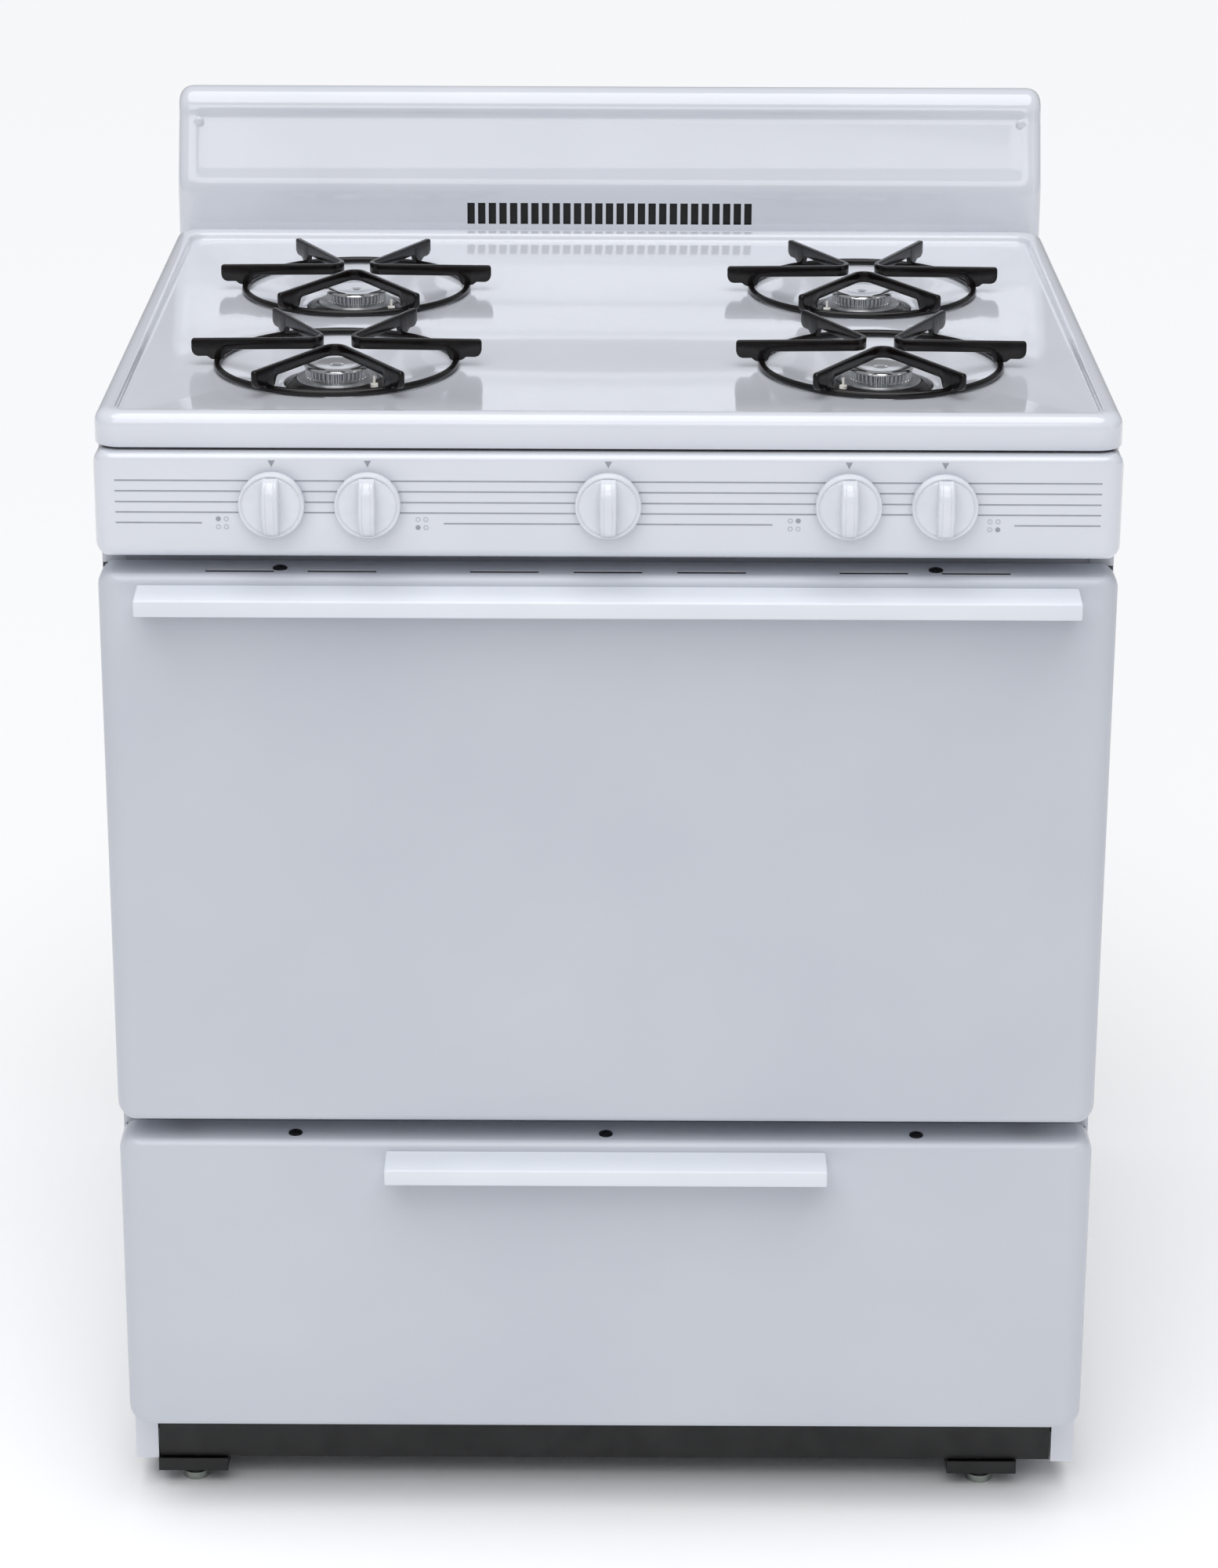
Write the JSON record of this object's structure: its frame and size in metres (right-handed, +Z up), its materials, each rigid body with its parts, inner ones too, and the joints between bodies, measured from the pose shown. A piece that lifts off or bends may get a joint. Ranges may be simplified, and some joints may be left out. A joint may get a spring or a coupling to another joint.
{
  "type": "freestanding gas range",
  "caption": "Freestanding gas range with lift-up cooktop, open burners with lift-off grates, push-and-turn knobs, drop-down oven door, broiler drawer and vented backguard.",
  "frame": {"origin": "on the floor under the middle of the range's box", "axes": "+X to the right seen from the front, +Y towards the back, +Z up"},
  "size_m": [0.759, 0.69, 1.032],
  "materials": {
    "white_enamel": "glossy porcelain enamel",
    "galvanised_steel": "galvanised",
    "black_paint": "satin black",
    "zinc_plated_steel": "zinc plated",
    "blackened_screws": "black oxide",
    "grey_oven_enamel": "speckled porcelain",
    "chromed_wire": "bright",
    "cast_iron": "as cast",
    "mineral_wool": "fibrous",
    "glass_fibre_rope": "woven",
    "brass": "machined",
    "cast_aluminium": "die cast",
    "polished_cap": "polished",
    "electrode_ceramic": "glazed ceramic",
    "black_porcelain": "gloss black porcelain",
    "stem_steel": "turned",
    "white_knob_plastic": "gloss",
    "white_handle_enamel": "gloss powder coat"
  },
  "bodies": {
    "root": {"left_side_panel": "white_enamel", "right_side_panel": "white_enamel", "back_panel": "galvanised_steel", "base_frame": "galvanised_steel", "kick_rail": "black_paint", "leveling_legs": "zinc_plated_steel", "leg_brackets": "black_paint", "front_frame": "white_enamel", "hinge_brackets": "galvanised_steel", "oven_liner": "grey_oven_enamel", "oven_floor": "grey_oven_enamel", "oven_burner": "cast_iron", "flame_spreader": "galvanised_steel", "oven_insulation": "mineral_wool", "rack_guides": "chromed_wire", "upper_rack": "chromed_wire", "lower_rack": "chromed_wire", "oven_flue": "galvanised_steel", "drawer_rails": "galvanised_steel", "manifold_pipe": "galvanised_steel", "burner_valves": "brass", "oven_thermostat": "brass", "burner_tubes": "galvanised_steel", "burner_heads": "cast_aluminium", "burner_caps": "polished_cap", "igniters": "electrode_ceramic", "gas_regulator": "cast_aluminium", "control_panel": "white_enamel", "backguard": "white_enamel", "cooktop_brackets": "galvanised_steel"},
    "cooktop_lid": {"cooktop": "white_enamel", "cooktop_pins": "galvanised_steel"},
    "grate_1_body": {"grate_1": "black_porcelain"},
    "grate_2_body": {"grate_2": "black_porcelain"},
    "grate_3_body": {"grate_3": "black_porcelain"},
    "grate_4_body": {"grate_4": "black_porcelain"},
    "valve_stem_1": {"stem_1": "stem_steel"},
    "knob_1_body": {"knob_1": "white_knob_plastic"},
    "valve_stem_2": {"stem_2": "stem_steel"},
    "knob_2_body": {"knob_2": "white_knob_plastic"},
    "valve_stem_3": {"stem_3": "stem_steel"},
    "knob_3_body": {"knob_3": "white_knob_plastic"},
    "valve_stem_4": {"stem_4": "stem_steel"},
    "knob_4_body": {"knob_4": "white_knob_plastic"},
    "valve_stem_5": {"stem_5": "stem_steel"},
    "knob_5_body": {"knob_5": "white_knob_plastic"},
    "oven_door": {"door_outer_panel": "white_enamel", "door_inner_panel": "grey_oven_enamel", "door_insulation": "mineral_wool", "door_gasket": "glass_fibre_rope", "door_handle": "white_handle_enamel", "door_hinge_arms": "galvanised_steel", "door_screws": "blackened_screws"},
    "broiler_drawer": {"drawer_front": "white_enamel", "drawer_handle": "white_handle_enamel", "drawer_box": "grey_oven_enamel", "drawer_runners": "galvanised_steel", "broiler_pan": "black_porcelain", "broiler_grid": "black_porcelain", "drawer_screws": "blackened_screws"}
  },
  "joints": [
    {"name": "cooktop_lift", "type": "hinge", "parent": "root", "child": "cooktop_lid", "pos_m": [0, 0.285, 0.907], "axis": [-1, 0, 0], "range_deg": [0, 30]},
    {"name": "grate_1_lift", "type": "slide", "parent": "cooktop_lid", "child": "grate_1_body", "axis": [0, 0, 1], "range_m": [0, 0.06]},
    {"name": "grate_2_lift", "type": "slide", "parent": "cooktop_lid", "child": "grate_2_body", "axis": [0, 0, 1], "range_m": [0, 0.06]},
    {"name": "grate_3_lift", "type": "slide", "parent": "cooktop_lid", "child": "grate_3_body", "axis": [0, 0, 1], "range_m": [0, 0.06]},
    {"name": "grate_4_lift", "type": "slide", "parent": "cooktop_lid", "child": "grate_4_body", "axis": [0, 0, 1], "range_m": [0, 0.06]},
    {"name": "knob_1_turn", "type": "hinge", "parent": "root", "child": "valve_stem_1", "pos_m": [-0.247, -0.318, 0.851], "axis": [0, -1, 0], "range_deg": [0, 210]},
    {"name": "knob_1_push", "type": "slide", "parent": "valve_stem_1", "child": "knob_1_body", "axis": [0, 1, 0], "range_m": [0, 0.0025], "stiffness_N_per_m": 1200, "springref_m": -0.001},
    {"name": "knob_2_turn", "type": "hinge", "parent": "root", "child": "valve_stem_2", "pos_m": [-0.1765, -0.318, 0.851], "axis": [0, -1, 0], "range_deg": [0, 210]},
    {"name": "knob_2_push", "type": "slide", "parent": "valve_stem_2", "child": "knob_2_body", "axis": [0, 1, 0], "range_m": [0, 0.0025], "stiffness_N_per_m": 1200, "springref_m": -0.001},
    {"name": "knob_3_turn", "type": "hinge", "parent": "root", "child": "valve_stem_3", "pos_m": [0, -0.318, 0.851], "axis": [0, -1, 0], "range_deg": [0, 300]},
    {"name": "knob_3_push", "type": "slide", "parent": "valve_stem_3", "child": "knob_3_body", "axis": [0, 1, 0], "range_m": [0, 0.0025], "stiffness_N_per_m": 1200, "springref_m": -0.001},
    {"name": "knob_4_turn", "type": "hinge", "parent": "root", "child": "valve_stem_4", "pos_m": [0.1765, -0.318, 0.851], "axis": [0, -1, 0], "range_deg": [0, 210]},
    {"name": "knob_4_push", "type": "slide", "parent": "valve_stem_4", "child": "knob_4_body", "axis": [0, 1, 0], "range_m": [0, 0.0025], "stiffness_N_per_m": 1200, "springref_m": -0.001},
    {"name": "knob_5_turn", "type": "hinge", "parent": "root", "child": "valve_stem_5", "pos_m": [0.247, -0.318, 0.851], "axis": [0, -1, 0], "range_deg": [0, 210]},
    {"name": "knob_5_push", "type": "slide", "parent": "valve_stem_5", "child": "knob_5_body", "axis": [0, 1, 0], "range_m": [0, 0.0025], "stiffness_N_per_m": 1200, "springref_m": -0.001},
    {"name": "oven_door_hinge", "type": "hinge", "parent": "root", "child": "oven_door", "pos_m": [0, -0.294, 0.3625], "axis": [1, 0, 0], "range_deg": [0, 88], "stiffness_Nm_per_rad": 10, "springref_deg": -20.05},
    {"name": "broiler_drawer_slide", "type": "slide", "parent": "root", "child": "broiler_drawer", "axis": [0, -1, 0], "range_m": [0, 0.34]}
  ]
}
